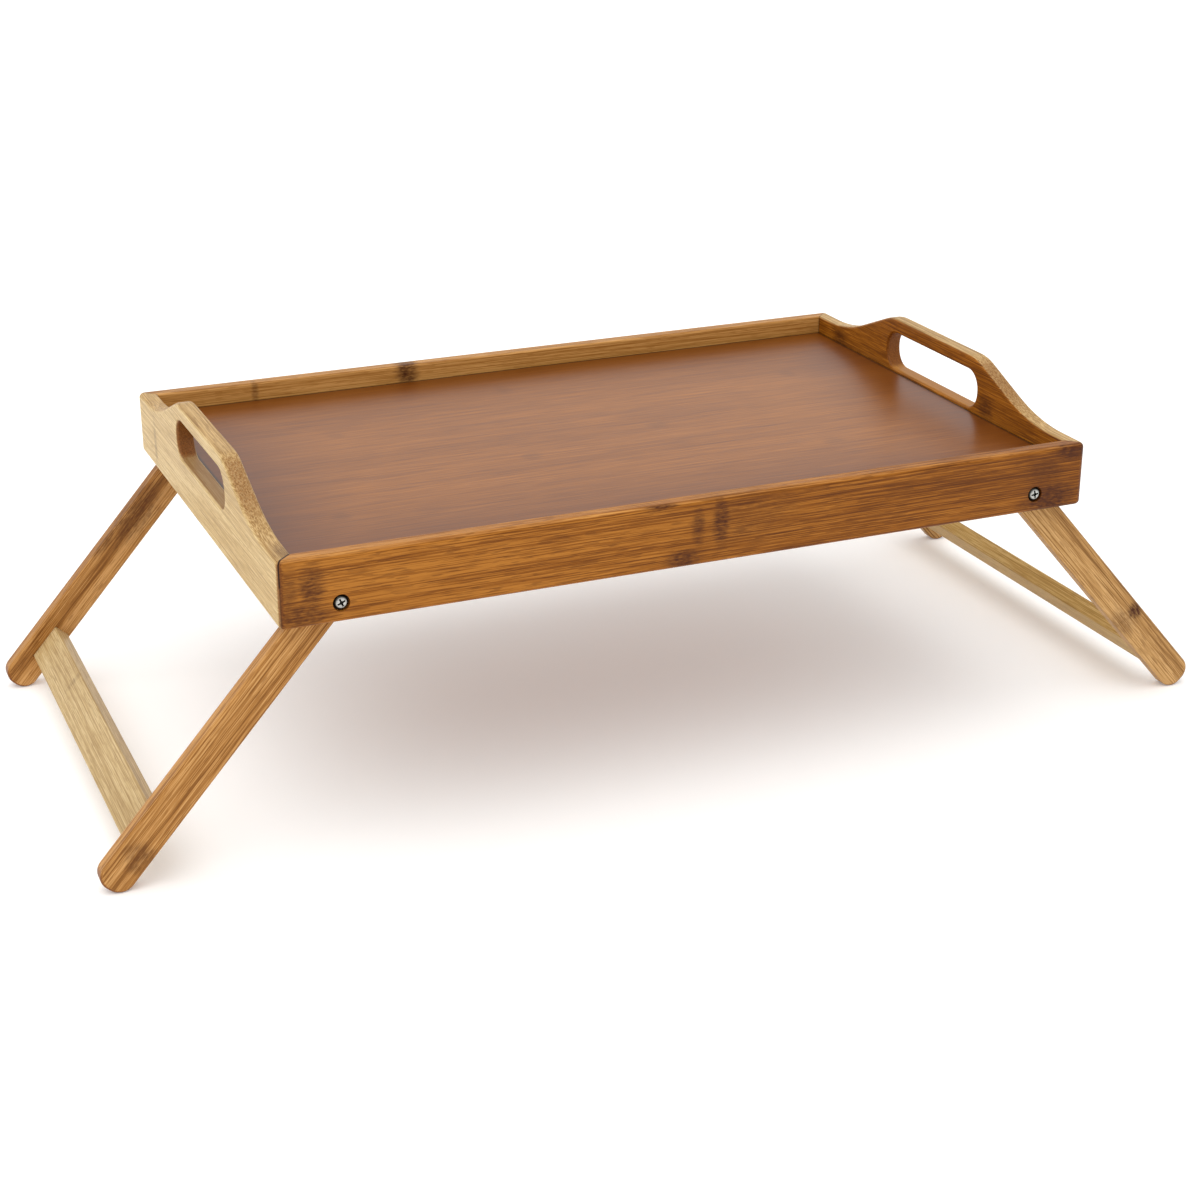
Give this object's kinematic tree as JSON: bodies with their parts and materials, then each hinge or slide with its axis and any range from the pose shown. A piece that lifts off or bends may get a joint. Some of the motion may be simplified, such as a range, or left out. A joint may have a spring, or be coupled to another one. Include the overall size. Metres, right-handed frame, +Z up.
{
  "type": "folding tray table",
  "caption": "Bamboo bed tray with raised handle ends, on two leg frames that fold flat into the recess under it.",
  "frame": {"origin": "on the ground under the middle of the tray, legs open", "axes": "+X along the tray to its right end, +Y from the front rail to the back rail, +Z up"},
  "size_m": [0.7058, 0.3274, 0.2066],
  "materials": {
    "bamboo_board": "satin lacquer over caramelised laminated bamboo",
    "bamboo_leg": "satin lacquer over laminated bamboo",
    "bamboo_stretcher": "thin lacquer over pale laminated bamboo",
    "bamboo_spline": "unfinished bamboo strip",
    "lacquered_floor": "semi-gloss lacquer over reddish-brown bamboo veneer",
    "zinc_steel": "zinc-plated steel",
    "nylon": "natural nylon"
  },
  "bodies": {
    "tray": {"front_rail": "bamboo_board", "back_rail": "bamboo_board", "left_end_board": "bamboo_board", "right_end_board": "bamboo_board", "tray_panel": "lacquered_floor", "corner_spline_left_front": "bamboo_spline", "corner_spline_left_back": "bamboo_spline", "corner_spline_right_front": "bamboo_spline", "corner_spline_right_back": "bamboo_spline", "pivot_screw_left_front": "zinc_steel", "pivot_spacer_left_front": "nylon", "pivot_washer_left_front": "zinc_steel", "lock_nut_left_front": "zinc_steel", "pivot_screw_left_back": "zinc_steel", "pivot_spacer_left_back": "nylon", "pivot_washer_left_back": "zinc_steel", "lock_nut_left_back": "zinc_steel", "pivot_screw_right_front": "zinc_steel", "pivot_spacer_right_front": "nylon", "pivot_washer_right_front": "zinc_steel", "lock_nut_right_front": "zinc_steel", "pivot_screw_right_back": "zinc_steel", "pivot_spacer_right_back": "nylon", "pivot_washer_right_back": "zinc_steel", "lock_nut_right_back": "zinc_steel"},
    "left_leg_frame": {"left_front_leg": "bamboo_leg", "left_back_leg": "bamboo_leg", "left_stretcher": "bamboo_stretcher"},
    "right_leg_frame": {"right_front_leg": "bamboo_leg", "right_back_leg": "bamboo_leg", "right_stretcher": "bamboo_stretcher"}
  },
  "joints": [
    {"name": "left_leg_fold", "type": "hinge", "parent": "tray", "child": "left_leg_frame", "pos_m": [-0.216, 0, 0.15383], "axis": [0, -1, 0], "range_deg": [0, 131.4]},
    {"name": "right_leg_fold", "type": "hinge", "parent": "tray", "child": "right_leg_frame", "pos_m": [0.216, 0, 0.15383], "axis": [0, 1, 0], "range_deg": [0, 131.4]}
  ]
}
